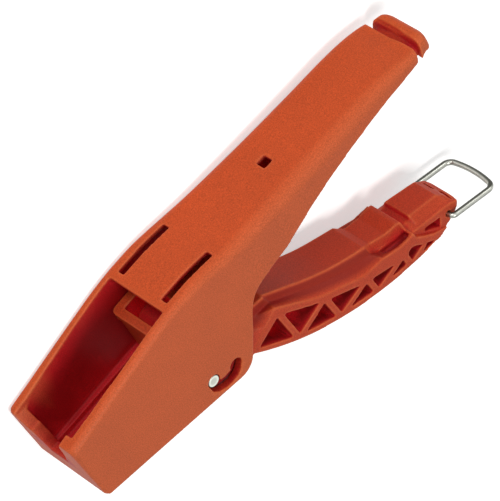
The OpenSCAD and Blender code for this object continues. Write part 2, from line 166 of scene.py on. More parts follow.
# Lever: distance along X, top of the side faces, top of the web, narrowing of both
LEVER_STATIONS = [
    (-22.0, 14.2, -5.0, 0.0, 0.0),
    (-34.0, 8.6, -2.4, 0.0, 0.0),
    (-42.0, 4.9, -0.7, 0.0, 0.0),
    (-52.0, 14.8, 7.2, 0.1, 0.0),
    (-62.0, 24.8, 15.2, 0.3, 0.0),
    (-74.0, 33.2, 23.4, 0.5, 0.0),
    (-86.0, 40.8, 29.8, 0.7, 0.0),
    (-93.5, 42.5, 33.4, 0.8, 0.2),
    (-97.0, 43.2, 37.2, 0.9, 2.2),
    (-106.0, 47.6, 41.0, 1.1, 1.6),
    (-112.6, 48.6, 41.8, 1.2, 0.8),
    (-114.7, 48.5, 43.0, 1.3, 0.8),
    (-115.1, 48.4, 47.0, 1.3, 1.0),
    (-115.5, 52.4, 51.5, 1.3, 1.0),
    (-119.7, 57.3, 56.8, 1.5, 1.0),
    (-124.3, 62.0, 61.5, 2.0, 1.2),
    (-129.4, 66.4, 65.9, 3.3, 1.4),
    (-135.0, 71.0, 70.5, 4.4, 1.4),
]
END_STATIONS = [
    (-114.8, 51.2, 48.4, 0.0, 2.6),
    (-119.4, 52.7, 49.0, 0.0, 2.6),
    (-120.2, 53.0, 46.9, 0.0, 2.6),
    (-133.0, 57.4, 51.6, 0.4, 3.0),
    (-137.0, 58.8, 53.2, 0.5, 3.2),
    (-139.6, 60.2, 56.4, 0.6, 3.4),
    (-141.8, 62.0, 60.4, 0.8, 3.8),
    (-144.0, 63.6, 62.8, 1.6, 5.2),
]
# The lever stands in the housing's shade from here to the pin
AROUND_FROM = -40.0
# Painted shade in the hollow of the flange: its reach along X, and where it starts and ends below and beside
# the web
FLANGE_X = (-113.0, -24.0)
FLANGE_FROM = 0.9
FLANGE_TO = 0.85
# Boxes over the sides of the hub, which get painted shade where the housing's walls cover them
HUB_SIDES = ((-17, -7, -1), (6, 13, WIDTH + 1))
# Scooped recess beside the tooth: distance along X, narrowing at its ends, height of its bottom
SCALLOP = [
    (-99.0, 0.7, 46.6), (-101.0, 0.3, 48.4), (-107.0, 0.0, 50.6), (-112.0, 0.0, 51.8), (-113.8, 0.2, 51.8),
]
WEB_STEP = 5.2
WEB_EDGE = 0.4
END_SLOPE = 3.2
LEVER_ARC_C = (-144.3, -99.5)
LEVER_ARC_R = 167.1
LEVER_END = [
    (-126.5, 68.3), (-130.5, 68.9), (-134.8, 68.6), (-139.5, 66.8),
    (-142.4, 65.0), (-143.8, 62.8), (-143.8, 40.0),
]
# Where the web's upper surface is one smooth curve
WEB_CURVE = (-42.0, -93.5)
TRUSS_TOP = [(-42.0, 8.6), (-63.8, 28.8), (-85.3, 44.1), (-106.0, 54.0)]
TRUSS_LOW_X = [-23.3, -44.0, -65.5, -86.6, -106.5]
ROUND_POCKET = [
    (-108.1, 56.9), (-108.9, 55.2), (-111.0, 54.7), (-113.3, 56.2), (-116.4, 59.8), (-108.5, 61.5),
]
SLIVER_POCKET = [(-114.4, 63.4), (-118.9, 61.8), (-122.4, 65.0), (-120.6, 65.6)]
END_POCKET = [(-122.4, 57.1), (-131.6, 60.8), (-129.4, 65.6), (-121.9, 58.6)]
CORE_OUTLINE = [
    (0.3, -6.5), (-8.0, -8.0), (-41.5, -0.8), (-46.0, 20.0), (-46.0, 33.0),
    (-22.6, 15.8), (-13.0, 9.0), (-2.0, 6.6),
]
SHOULDER = [
    (-6.8, -0.6), (-15.5, -3.2), (-19.5, 2.0), (-22.5, 14.0), (-22.5, 15.6),
    (-14.0, 15.2), (-6.0, 14.4), (0.0, 11.4), (3.4, 9.8), (5.6, 4.0),
]
CORE_HALF = 11.0
HUB_R = 6.9
BORE_PLAY = 0.02
FINGER_LEAN = 8.0
FINGER_REACH = 23.0
FINGER_HALF = 10.94
FINGER_TIP_R = 6.8
FINGER_TIP_HALF = 10.97
# Half of the wall that is left between the pockets of the two sides
TRUSS_MIDDLE = 3.5
HINGE = (-136.0, 64.0)
# Each hole for the bail's stubs: its middle from the tool's middle, half its depth, its play
STUB_HOLE = (12, 3, 0.12)
END_SLOTS = [
    ((-140.9, 50, MID - 7), (-139.6, 62, MID + 0.2)),
    ((-142.4, 50, MID + 1.6), (-141.1, 62.4, MID + 8.4)),
]

# Bail
BAIL_LEAN = 19.5
LEVER_CLOSED = 29.96
BAIL_CLOSED = 59.5
SEAT_PLAY = 0.35
CROWN_R = 45.0
CROWN_CORNER = 4.2
STUB_BEND = 1.8
STUB_IN = 9.4
# Side of the wire that gets a painted dark reflection; painted bright reflections lie beside it
DARK_REFLECTION_SIDE = Vector((-0.74, -0.52, -0.43))
REFLECTION_STEPS = (-0.55, -0.2, 0.1, 0.4, 0.62, 0.85, 1.0)
REFLECTION_BANDS = (0, 0.25, 0.95, 0.1, -1, -0.9, -0.3)

# Return spring: ends of the coil, the jaw's stud and the radius of the hooks
COIL_FRONT = -39.5
COIL_BACK = -63.0
STUD_X = -17.6
HOOK_R = 2.4

# Looks
# Painted shade in creases and recesses
CREASE_SHADE_COLOUR = (0.21, 0.011, 0.009, 1)
# Painted red bounce light in the deepest places where walls block the view
DEEP_BOUNCE_COLOUR = (0.95, 0.035, 0.05, 1)
# Colour of the steel's film, and of the painted dark reflections on the bail
FILM_AND_DARK_BAND_COLOUR = (0.035, 0.036, 0.028, 1)
# The pin's ends: a brighter ring and a darker rim, by distance from the axis
PIN_BRIGHT = (0.78, 0.82, 0.73)
PIN_STEPS = (0.5, 0.72, 0.86, 0.9, 0.99)
PIN_BANDS = (0.55, 1.0, 1.0, 0.2, -0.9)
LIGHT_COLOUR = (1.0, 0.99, 0.97)
LIGHT_DISTANCE = 1.3
LIGHT_SIZE = 0.5
LIGHT_TARGET = (0.0, 0.0, 0.02)
FLOOR_HALF = 6.0
FLOOR_DROP = 0.0002
CAMERA_LENS = 253.293
CAMERA_AT = Vector((259.21, -1181.14, 885.48))
CAMERA_RIGHT = Vector((-0.64232, 0.33779, 0.68706))
CAMERA_UP = Vector((-0.73596, -0.51838, -0.43417))
# Name, direction it comes from, power
LIGHTS = [
    ("front_light", (0.12, -0.97, 0.24), 5.8),
    ("top_light", (0.18, -0.2, 0.96), 9.2),
    ("side_light", (-0.86, -0.36, 0.36), 3.0),
]


# ---- settings a user would change ----


def length_setting(name, about, default, low, high):
    """A length that a user may change, given here in millimetres."""
    values = {"default": default * MM, "min": low * MM, "max": high * MM}
    return FloatProperty(name=name, description=about, unit="LENGTH", precision=4, **values)


def colour_setting(name, about, default):
    """A colour that a user may change."""
    return FloatVectorProperty(
        name=name, description=about, subtype="COLOR", size=3, default=default, min=0.0, max=1.0
    )


class ClampSettings(bpy.types.PropertyGroup):
    """Sizes and colours of the hand clamp."""

    wall: length_setting("Side wall", "Thickness of the housing's side walls", 4.2, 3.6, 4.4)
    roof: length_setting("Roof", "Thickness of the top panel", 2.6, 2.0, 3.0)
    slot_length: length_setting("Panel slot length", "Length of the two slots", 28.0, 24.0, 28.0)
    slot_width: length_setting("Panel slot width", "Width of the two slots", 3.7, 3.0, 4.0)
    square_hole: length_setting("Square hole", "Side of the square hole", 5.1, 4.0, 6.0)
    lever_width: length_setting("Lever width", "Width at the pivot end", 31.4, 30.0, 31.6)
    lever_end_width: length_setting("Lever end width", "Width at the free end", 23.0, 22.0, 23.4)
    web_width: length_setting("Web width", "Width of the raised web", 20.0, 18.0, 20.0)
    rib: length_setting("Truss rib", "Thickness of the truss ribs", 3.2, 2.4, 3.6)
    jaw_length: length_setting("Jaw length", "Length along the travel", 22.5, 20.0, 22.5)
    jaw_wall: length_setting("Jaw wall", "Wall of the jaw's frame", 4.3, 3.0, 4.5)
    pin_diameter: length_setting("Pin diameter", "Diameter of the steel pin", 6.0, 5.0, 6.2)
    wire_diameter: length_setting("Bail wire", "Diameter of the bail's wire", 2.8, 2.4, 2.8)
    bail_reach: length_setting("Bail reach", "From the hinge to the crown's middle", 27.8, 27.6, 28.0)
    bail_width: length_setting("Bail width", "Between the middles of the legs", 27.2, 27.0, 27.6)
    spring_wire: length_setting("Spring wire", "Diameter of the spring's wire", 1.0, 0.8, 1.0)
    coil_diameter: length_setting("Coil diameter", "Middle diameter of the coil", 6.5, 6.0, 6.5)
    coil_turns: IntProperty(name="Coil turns", description="Turns in the coil", default=13, min=10, max=15)
    grain: FloatProperty(
        name="Moulding grain", description="Strength of the plastic's grain", default=1.0, min=0.0, max=2.0
    )
    plastic: colour_setting("Plastic", "Colour of the moulded plastic", (0.53, 0.074, 0.017))
    # Lighter edges: partly worn plastic, partly a painted highlight
    plastic_edge_and_highlight: colour_setting("Plastic edge", "Colour where edges are rubbed", (0.72, 0.17, 0.055))
    # The side that faces up: partly fading, partly a painted sheen
    plastic_faded_and_sheen: colour_setting("Faded plastic and sheen", "Colour of the side that faces up", (0.52, 0.105, 0.038))
    # Painted shade where walls block the view
    plastic_occlusion_shade: colour_setting("Sheltered plastic", "Colour of the inside", (0.42, 0.010, 0.014))
    steel: colour_setting("Steel", "Colour of the pin and the bail", (0.34, 0.345, 0.31))
    floor: colour_setting("Floor", "Colour of the floor", (0.9, 0.9, 0.9))


def read_settings(context):
    """The settings as they stand, with their lengths in millimetres."""
    settings = context.scene.hand_clamp
    values = {name: getattr(settings, name) for name in ClampSettings.__annotations__}
    for name in values:
        if settings.bl_rna.properties[name].unit == "LENGTH":
            values[name] = round(values[name] / MM, 4)
    return SimpleNamespace(**values)


# ---- geometry helpers ----


def new_object(name, data):
    obj = bpy.data.objects.new(name, data)
    bpy.context.scene.collection.objects.link(obj)
    return obj


def face_outwards(mesh, weld=0.0):
    """Turns all faces outwards, and first joins points that are no further apart than weld."""
    bm = bmesh.new()
    bm.from_mesh(mesh)
    if weld:
        bmesh.ops.remove_doubles(bm, verts=bm.verts, dist=weld)
    bmesh.ops.recalc_face_normals(bm, faces=bm.faces)
    bm.to_mesh(mesh)
    bm.free()


def new_solid(name, points, faces):
    """A closed mesh object with its faces turned outwards."""
    mesh = bpy.data.meshes.new(name)
    mesh.from_pydata([tuple(p) for p in points], [], faces)
    face_outwards(mesh)
    return new_object(name, mesh)


def loft(name, rings):
    """A closed solid through rings of points that all have the same count."""
    n = len(rings[0])
    points = [p for ring in rings for p in ring]
    faces = [tuple(range(n))]
    for j in range(len(rings) - 1):
        for i in range(n):
            k = (i + 1) % n
            faces.append((j * n + i, j * n + k, (j + 1) * n + k, (j + 1) * n + i))
    last = (len(rings) - 1) * n
    faces.append(tuple(last + i for i in range(n - 1, -1, -1)))
    return new_solid(name, points, faces)


def prism(name, outline, z0, z1):
    """An outline in X and Y, extruded across the width from z0 to z1."""
    return loft(name, [[(x, y, z) for x, y in outline] for z in (z0, z1)])


def upright_prism(name, outline, y0, y1):
    """An outline in X and Z, extruded along Y."""
    return loft(name, [[(x, y, z) for x, z in outline] for y in (y0, y1)])


def front_prism(name, outline, x0, x1):
    """An outline in Z and Y, extruded along X."""
    return loft(name, [[(x, y, z) for z, y in outline] for x in (x0, x1)])


def rectangle(x0, x1, y0, y1):
    return [(x0, y0), (x1, y0), (x1, y1), (x0, y1)]


def block(name, low, high):
    return prism(name, rectangle(low[0], high[0], low[1], high[1]), low[2], high[2])


def arc(centre, r, a0, a1, n):
    angles = [math.radians(a0 + (a1 - a0) * i / n) for i in range(n + 1)]
    return [(centre[0] + r * math.cos(a), centre[1] + r * math.sin(a)) for a in angles]


def disc(name, centre, r, z0, z1, sides=64):
    return prism(name, arc(centre, r, 0, 360 - 360 / sides, sides - 1), z0, z1)


def upright(name, x, z, r, y0, y1, sides=32):
    """A round bar along Y."""
    return upright_prism(name, arc((x, z), r, 0, 360 - 360 / sides, sides - 1), y0, y1)


def merge(name, objects):
    """One object from several whose solids do not touch."""
    bm = bmesh.new()
    for o in objects:
        bm.from_mesh(o.data)
        bpy.data.objects.remove(o)
    mesh = bpy.data.meshes.new(name)
    bm.to_mesh(mesh)
    bm.free()
    return new_object(name, mesh)


def settle(obj):
    """Makes the object's modifiers part of its mesh."""
    graph = bpy.context.evaluated_depsgraph_get()
    mesh = bpy.data.meshes.new_from_object(obj.evaluated_get(graph))
    old = obj.data
    obj.modifiers.clear()
    obj.data = mesh
    mesh.name = obj.name
    bpy.data.meshes.remove(old)


def is_closed(mesh):
    """True if every edge has exactly two faces."""
    bm = bmesh.new()
    bm.from_mesh(mesh)
    closed = all(len(edge.link_faces) == 2 for edge in bm.edges)
    bm.free()
    return closed


def combine(target, tool, operation):
    """Adds, cuts or keeps the tool's volume, and removes the tool."""
    modifier = target.modifiers.new(operation, "BOOLEAN")
    modifier.operation = operation
    modifier.solver = "EXACT"
    modifier.object = tool
    settle(target)
    bpy.data.objects.remove(tool)
    if not target.data.polygons or not is_closed(target.data):
        raise RuntimeError(f"{target.name} came out empty or open")


def add(target, tool):
    combine(target, tool, "UNION")


def cut(target, tool):
    combine(target, tool, "DIFFERENCE")


def triangles(mesh):
    mesh.calc_loop_triangles()
    return len(mesh.loop_triangles)


def soften(obj, voxel):
    """Gives a moulding its small round edges, and keeps it under the triangle limit."""
    remesh = obj.modifiers.new("remesh", "REMESH")
    remesh.mode = "VOXEL"
    remesh.voxel_size = voxel
    remesh.adaptivity = 0.0
    smooth = obj.modifiers.new("smooth", "SMOOTH")
    smooth.factor = 0.5
    smooth.iterations = SMOOTH_PASSES
    settle(obj)
    count = triangles(obj.data)
    if count > MAX_TRIANGLES:
        thin = obj.modifiers.new("thin", "DECIMATE")
        thin.ratio = MAX_TRIANGLES / count
        settle(obj)


def set_mark(mesh, name, value):
    mesh.attributes.new(name, "FLOAT", "POINT").data.foreach_set("value", value.astype(np.float32))


def edge_ends(mesh):
    """The vertices at the two ends of every edge, and how many edges each vertex has."""
    pairs = np.empty(len(mesh.edges) * 2, int)
    mesh.edges.foreach_get("vertices", pairs)
    a, b = pairs.reshape(-1, 2).T
    n = len(mesh.vertices)
    return a, b, np.bincount(a, minlength=n) + np.bincount(b, minlength=n)


def smoothed(value, a, b, count, passes):
    """The value at each vertex, averaged with its neighbours' in each pass."""
    for _ in range(passes):
        total = value.copy()
        np.add.at(total, a, value[b])
        np.add.at(total, b, value[a])
        value = total / (count + 1)
    return value


def mark_edges(obj, reach):
    """Stores how convex and how hollow the surface is at each point, and how far it faces up; from these the
    material paints lighter worn edges with a painted highlight, painted shade in creases, and fading with a
    painted sheen.
    """
    mesh = obj.data
    n = len(mesh.vertices)
    co, normal = np.empty(n * 3), np.empty(n * 3)
    mesh.vertices.foreach_get("co", co)
    mesh.vertex_normals.foreach_get("vector", normal)
    co, normal = co.reshape(n, 3), normal.reshape(n, 3)
    a, b, count = edge_ends(mesh)
    step = co[a] - co[b]
    square = np.maximum((step**2).sum(1), 1e-9)
    bend = np.zeros(n)
    for i, sign in ((a, 1.0), (b, -1.0)):
        np.add.at(bend, i, sign * (step * normal[i]).sum(1) / square)
    bend = smoothed(bend / np.maximum(count, 1), a, b, count, EDGE_PASSES)
    set_mark(mesh, "edge", np.clip(bend / reach, 0, 1))
    set_mark(mesh, "hollow", np.clip(-bend / reach, 0, 1))
    set_mark(mesh, "upward", np.clip(normal[:, 2], 0, 1))


def wall_tree(mesh, scale=1.0, shift=Vector()):
    corners = [v.co * scale - shift for v in mesh.vertices]
    return BVHTree.FromPolygons(corners, [p.vertices for p in mesh.polygons])


def mark_occlusion_shade(obj, reach, around=""):
    """Stores how much of the view from each point the piece's walls, or those around it, block; the material
    paints shade from this.
    """
    mesh = obj.data
    trees = [wall_tree(mesh)]
    if around in bpy.data.objects:
        trees.append(wall_tree(bpy.data.objects[around].data, 1 / MM, PIVOT))
    value = np.empty(len(mesh.vertices))
    for i, normal in enumerate(mesh.vertex_normals):
        n = normal.vector
        side = n.orthogonal().normalized()
        across = n.cross(side)
        at = mesh.vertices[i].co
        start = at + n * RAY_START
        rays = [n] + [n * 0.6 + (side * a + across * b) * 0.8 for a, b in ((1, 0), (0, 1), (-1, 0), (0, -1))]
        near = trees if at.x > AROUND_FROM else trees[:1]
        value[i] = sum(any(tree.ray_cast(start, ray, reach)[0] is not None for tree in near) for ray in rays)
    a, b, count = edge_ends(mesh)
    set_mark(mesh, "shelter", smoothed(value / len(rays), a, b, count, OCCLUSION_SHADE_PASSES))


def place(obj):
    """Brings a finished piece from millimetres at the pivot to metres in the row frame."""
    obj.data.transform(Matrix.Scale(MM, 4) @ Matrix.Translation(PIVOT))
    obj.data.polygons.foreach_set("use_smooth", [True] * len(obj.data.polygons))
    obj.data.update()


def finish_piece(obj, body, node, material):
    """Gives a piece its material, attaches it to its body if it has one, and hides the part that it stands
    for.
    """
    obj.data.materials.clear()
    obj.data.materials.append(material)
    if body:
        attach(obj, body)
    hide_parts(node)


def eased(table, xs):
    """Rows of the table at each X, on smooth curves that never pass the table's own values."""
    rows = np.array(sorted(table))
    x, y = rows[:, 0], rows[:, 1:]
    h = np.diff(x)[:, None]
    slope = np.diff(y, axis=0) / h
    tangent = np.zeros_like(y)
    same = slope[:-1] * slope[1:] > 0
    w1, w2 = 2 * h[1:] + h[:-1], h[1:] + 2 * h[:-1]
    with np.errstate(divide="ignore", invalid="ignore"):
        mean = (w1 + w2) / (w1 / slope[:-1] + w2 / slope[1:])
    tangent[1:-1] = np.where(same, mean, 0)
    tangent[0], tangent[-1] = slope[0], slope[-1]
    out = []
    for q in xs:
        i = int(np.clip(np.searchsorted(x, q) - 1, 0, len(x) - 2))
        t = (q - x[i]) / h[i, 0]
        h00, h10 = (1 + 2 * t) * (1 - t) ** 2, t * (1 - t) ** 2
        h01, h11 = t * t * (3 - 2 * t), t * t * (t - 1)
        value = h00 * y[i] + h10 * h[i] * tangent[i] + h01 * y[i + 1] + h11 * h[i] * tangent[i + 1]
        out.append((q, *value))
    return out


def rounded(outline, r, steps=4):
    """An outline with every corner rounded as far as its sides allow."""
    out = []
    n = len(outline)
    for i in range(n):
        p = np.array(outline[i])
        to_a = np.array(outline[i - 1]) - p
        to_b = np.array(outline[(i + 1) % n]) - p
        la, lb = np.linalg.norm(to_a), np.linalg.norm(to_b)
        ua, ub = to_a / la, to_b / lb
        half = math.acos(max(-1.0, min(1.0, float(ua @ ub)))) / 2
        d = min(r / max(math.tan(half), 0.05), 0.45 * la, 0.45 * lb)
        for k in range(steps + 1):
            t = k / steps
            out.append(tuple((1 - t) ** 2 * (p + ua * d) + 2 * t * (1 - t) * p + t * t * (p + ub * d)))
    return out


def inset(triangle, d):
    """A triangle with every side moved inwards by d."""
    p = [np.array(q) for q in triangle]
    a, b, c = (np.linalg.norm(p[i] - p[j]) for i, j in ((1, 2), (2, 0), (0, 1)))
    centre = (a * p[0] + b * p[1] + c * p[2]) / (a + b + c)
    u, v = p[1] - p[0], p[2] - p[0]
    area = abs(u[0] * v[1] - u[1] * v[0]) / 2
    k = 1 - d * (a + b + c) / (2 * area)
    return [tuple(centre + k * (q - centre)) for q in p]


# ---- shader groups and materials ----


def make_group(name, inputs):
    """A shader group with the given inputs, which makes a colour, a roughness and a height."""
    tree = bpy.data.node_groups.new(name, "ShaderNodeTree")
    for label, default in inputs.items():
        kind = "NodeSocketColor" if isinstance(default, tuple) else "NodeSocketFloat"
        tree.interface.new_socket(label, in_out="INPUT", socket_type=kind).default_value = default
    tree.interface.new_socket("Colour", in_out="OUTPUT", socket_type="NodeSocketColor")
    for label in ("Roughness", "Height"):
        tree.interface.new_socket(label, in_out="OUTPUT", socket_type="NodeSocketFloat")
    given, made = tree.nodes.new("NodeGroupInput"), tree.nodes.new("NodeGroupOutput")
    return tree, given.outputs, made.inputs


def link_math(tree, operation, a, b, clamp=False):
    node = tree.nodes.new("ShaderNodeMath")
    node.operation = operation
    node.use_clamp = clamp
    for socket, value in zip(node.inputs, (a, b)):
        if isinstance(value, (int, float)):
            socket.default_value = value
        else:
            tree.links.new(value, socket)
    return node.outputs[0]


def link_noise(tree, vector, scale, detail):
    node = tree.nodes.new("ShaderNodeTexNoise")
    node.inputs["Detail"].default_value = detail
    node.inputs["Scale"].default_value = scale
    tree.links.new(vector, node.inputs["Vector"])
    return node.outputs["Fac"]


def link_range(tree, value, low, high, to_low, to_high):
    node = tree.nodes.new("ShaderNodeMapRange")
    tree.links.new(value, node.inputs["Value"])
    for label, number in (("From Min", low), ("From Max", high), ("To Min", to_low), ("To Max", to_high)):
        node.inputs[label].default_value = number
    return node.outputs["Result"]


def link_mix(tree, factor, a, b):
    node = tree.nodes.new("ShaderNodeMix")
    node.data_type = "RGBA"
    for index, value in ((0, factor), (6, a), (7, b)):
        tree.links.new(value, node.inputs[index])
    return node.outputs[2]


def link_attribute(tree, name):
    node = tree.nodes.new("ShaderNodeAttribute")
    node.attribute_name = name
    return node.outputs["Fac"]


def moulded_group():
    """Colour, roughness and height of moulded plastic: clouding, speckle, worn edges with a painted
    highlight, painted shade in creases and where walls block the view, painted red bounce light in the
    deepest places, and fading with a painted sheen on the side that faces up.
    """
    if "moulded_surface" in bpy.data.node_groups:
        return bpy.data.node_groups["moulded_surface"]
    inputs = {
        "Colour": (0.5, 0.1, 0.03, 1),
        "Edge colour": (0.7, 0.2, 0.08, 1),
        "Hollow colour": (0.2, 0.02, 0.01, 1),
        "Sheltered colour": (0.3, 0.02, 0.01, 1),
        "Deepest colour": (0.9, 0.03, 0.03, 1),
        "Faded colour": (0.5, 0.1, 0.04, 1),
        "Clouding": 0.1,
        "Speckle": 0.1,
        "Edge rub": 0.6,
        "Dullness": 0.5,
    }
    tree, given, made = make_group("moulded_surface", inputs)
    where = tree.nodes.new("ShaderNodeTexCoord").outputs["Object"]
    cloud = link_noise(tree, where, 55.0, 4.0)
    speckle = link_noise(tree, where, 1900.0, 2.0)
    grain = link_noise(tree, where, 4200.0, 2.0)
    scuff = link_noise(tree, where, 320.0, 5.0)
    shade = link_math(tree, "SUBTRACT", cloud, 0.5)
    shade = link_math(tree, "MULTIPLY", shade, given["Clouding"])
    fleck = link_math(tree, "SUBTRACT", speckle, 0.5)
    fleck = link_math(tree, "MULTIPLY", fleck, given["Speckle"])
    value = link_math(tree, "ADD", link_math(tree, "ADD", shade, fleck), 1.0)
    # Painted shade where walls block the view, turning to painted red bounce light in the deepest places
    blocked = link_attribute(tree, "shelter")
    shelter = link_range(tree, blocked, 0.15, 0.6, 0.0, 1.0)
    depth = link_range(tree, blocked, 0.7, 1.0, 0.0, 0.65)
    # Faces that point up get a paler colour, partly fading and partly a painted sheen
    base = link_mix(tree, link_attribute(tree, "upward"), given["Colour"], given["Faded colour"])
    inside = link_mix(tree, depth, given["Sheltered colour"], given["Deepest colour"])
    tone = tree.nodes.new("ShaderNodeHueSaturation")
    tree.links.new(link_mix(tree, shelter, base, inside), tone.inputs["Color"])
    tree.links.new(value, tone.inputs["Value"])
    # Lighter edges: partly worn plastic, partly a painted highlight
    rub_and_highlight = link_range(tree, scuff, 0.3, 0.7, 0.55, 1.0)
    rub_and_highlight = link_math(tree, "MULTIPLY", link_attribute(tree, "edge"), rub_and_highlight)
    rub_and_highlight = link_math(tree, "MULTIPLY", rub_and_highlight, given["Edge rub"], True)
    rub_and_highlight = link_math(tree, "MULTIPLY", rub_and_highlight, link_range(tree, shelter, 0.0, 1.0, 1.0, 0.35))
    colour = link_mix(tree, rub_and_highlight, tone.outputs["Color"], given["Edge colour"])
    # Painted shade in creases
    hollow = link_math(tree, "MULTIPLY", link_attribute(tree, "hollow"), 0.7, True)
    tree.links.new(link_mix(tree, hollow, colour, given["Hollow colour"]), made["Colour"])
    rough = link_math(tree, "ADD", given["Dullness"], link_math(tree, "MULTIPLY", shade, 0.6))
    rough = link_math(tree, "SUBTRACT", rough, link_math(tree, "MULTIPLY", rub_and_highlight, 0.08), True)
    tree.links.new(rough, made["Roughness"])
    height = link_math(tree, "ADD", grain, link_math(tree, "MULTIPLY", speckle, 0.8))
    tree.links.new(height, made["Height"])
    return tree


def steel_group():
    """Colour, roughness and height of steel: fine scratches, a thin uneven film, and bright and dark bands
    read from a mark, which on the bail are painted reflections.
    """
    if "drawn_steel" in bpy.data.node_groups:
        return bpy.data.node_groups["drawn_steel"]
    inputs = {
        "Colour": (0.6, 0.6, 0.6, 1),
        "Film colour": (0.35, 0.36, 0.33, 1),
        "Film": 0.5,
        "Polish": 0.25,
        "Bright colour": (0.7, 0.7, 0.68, 1),
    }
    tree, given, made = make_group("drawn_steel", inputs)
    where = tree.nodes.new("ShaderNodeTexCoord").outputs["Object"]
    scratch = link_noise(tree, where, 5200.0, 3.0)
    film = link_range(tree, link_noise(tree, where, 420.0, 5.0), 0.35, 0.7, 0.0, 1.0)
    # Bands from the mark: below zero towards the film colour, above zero towards the bright colour; on the
    # bail they are painted reflections
    drawn = link_attribute(tree, "drawn")
    dark = link_range(tree, drawn, 0.0, -1.0, 0.0, 1.0)
    dark = link_math(tree, "MAXIMUM", link_math(tree, "MULTIPLY", film, 0.5), dark)
    dark = link_math(tree, "MULTIPLY", dark, given["Film"], True)
    colour = link_mix(tree, dark, given["Colour"], given["Film colour"])
    bright_share = link_range(tree, drawn, 0.0, 1.0, 0.0, 1.0)
    tree.links.new(link_mix(tree, bright_share, colour, given["Bright colour"]), made["Colour"])
    rough = link_math(tree, "ADD", given["Polish"], link_math(tree, "MULTIPLY", film, 0.14), True)
    tree.links.new(rough, made["Roughness"])
    tree.links.new(scratch, made["Height"])
    return tree


def new_material(name, group, values, bump, distance, constants):
    """A material whose group feeds one Principled shader, with plain numbers on the shader's own sockets."""
    material = bpy.data.materials.new(name)
    material.use_nodes = True
    tree = material.node_tree
    shader = tree.nodes["Principled BSDF"]
    for label, number in constants.items():
        shader.inputs[label].default_value = number
    node = tree.nodes.new("ShaderNodeGroup")
    node.node_tree = group
    for label, value in values.items():
        node.inputs[label].default_value = value
    relief = tree.nodes.new("ShaderNodeBump")
    relief.inputs["Strength"].default_value = bump
    relief.inputs["Distance"].default_value = distance
    tree.links.new(node.outputs["Height"], relief.inputs["Height"])
    tree.links.new(node.outputs["Colour"], shader.inputs["Base Color"])
    tree.links.new(node.outputs["Roughness"], shader.inputs["Roughness"])
    tree.links.new(relief.outputs["Normal"], shader.inputs["Normal"])
    return material


def plastic_material(settings, name, tint, rub_and_highlight, deep, fade_and_sheen=(1.0, 1.0, 1.0)):
    # tint changes the plain colour, deep scales the colour of the painted shade, and the fading tint changes
    # the paler colour that carries a painted sheen
    colour = tuple(c * t for c, t in zip(settings.plastic, tint))
    shade_colour = tuple(c * deep for c in settings.plastic_occlusion_shade)
    faded_and_sheen = tuple(c * t for c, t in zip(settings.plastic_faded_and_sheen, fade_and_sheen))
    return new_material(
        name,
        moulded_group(),
        {
            "Colour": (*colour, 1),
            "Edge colour": (*settings.plastic_edge_and_highlight, 1),
            "Hollow colour": CREASE_SHADE_COLOUR,
            "Sheltered colour": (*shade_colour, 1),
            "Deepest colour": DEEP_BOUNCE_COLOUR,
            "Faded colour": (*faded_and_sheen, 1),
            "Clouding": 0.22,
            "Speckle": 1.1,
            "Edge rub": rub_and_highlight,
            "Dullness": 0.5,
        },
        bump=0.35 * settings.grain,
        distance=0.00008,
        constants={"Specular IOR Level": 0.12, "IOR": 1.5},
    )


def steel_material(settings, name, polish, film, bright=(0.62, 0.63, 0.57)):
    return new_material(
        name,
        steel_group(),
        {
            "Colour": (*settings.steel, 1),
            "Film colour": FILM_AND_DARK_BAND_COLOUR,
            "Bright colour": (*bright, 1),
            "Film": film,
            "Polish": polish,
        },
        bump=0.12,
        distance=0.00004,
        constants={"Metallic": 1.0},
    )


# ---- housing ----


def body_ring(station, inset_w, inset_top, r, steps):
    x, top, narrow = station[:3]
    h = MID - narrow - inset_w
    top += inset_top
    flat = [(LOFT_LOW, MID - h)]
    flat += arc((top + r, MID - h + r), r, 270, 180, steps)
    flat += arc((top + r, MID + h - r), r, 180, 90, steps)
    flat += [(LOFT_LOW, MID + h)]
    return [(x, y, z) for y, z in flat]


def along(start, end, step, extra=()):
    count = max(2, round(abs(end - start) / step) + 1)
    values = list(np.linspace(start, end, count))
    values += [e for e in extra if min(start, end) < e < max(start, end)]
    return sorted({round(float(v), 4) for v in values})


def side_outline():
    tail = [(TIP_X - 1, -34.5), (TIP_X - 1, -60)]
    outline = [(FRONT_X + 1, -60), (FRONT_X, -41.6)]
    x, y = BOTTOM_FRONT
    outline += [(x + 0.1, y - 2.4), (x - 1.6, y + 0.3)]
    outline += arc(CORNER_C, CORNER_R, 90 - BOTTOM_SLOPE, 90 + REAR_SLOPE, 14)
    smooth = eased([p for p in UNDERSIDE if p[0] > -156], along(-26.9, -153.7, 2.0))
    outline += [(x, y) for x, y in reversed(smooth)]
    outline += [p for p in UNDERSIDE if p[0] < -156]
    return outline + tail


def crown_line(settings, offset):
    """Half of the bail's middle line from the leg to the crown, moved inwards by offset."""
    leg = settings.bail_width / 2
    crown_u = settings.bail_reach - CROWN_R
    corner_w = leg - CROWN_CORNER
    corner_u = crown_u + math.sqrt((CROWN_R - CROWN_CORNER) ** 2 - corner_w**2)
    open_a = math.degrees(math.atan2(corner_w, corner_u - crown_u))
    line = arc((corner_u, corner_w), CROWN_CORNER - offset, 90, open_a, 9)
    line += arc((crown_u, 0), CROWN_R - offset, open_a * 0.9, open_a * 0.1, 8)
    return line + [(settings.bail_reach - offset, 0)], leg, corner_u


def bail_point(u, w, swing):
    """A point of the bail's plane: reach u and side w, turned by swing about its hinge."""
    a = math.radians(180 - BAIL_LEAN + swing)
    return Vector((HINGE[0] + u * math.cos(a), HINGE[1] + u * math.sin(a), MID + w))


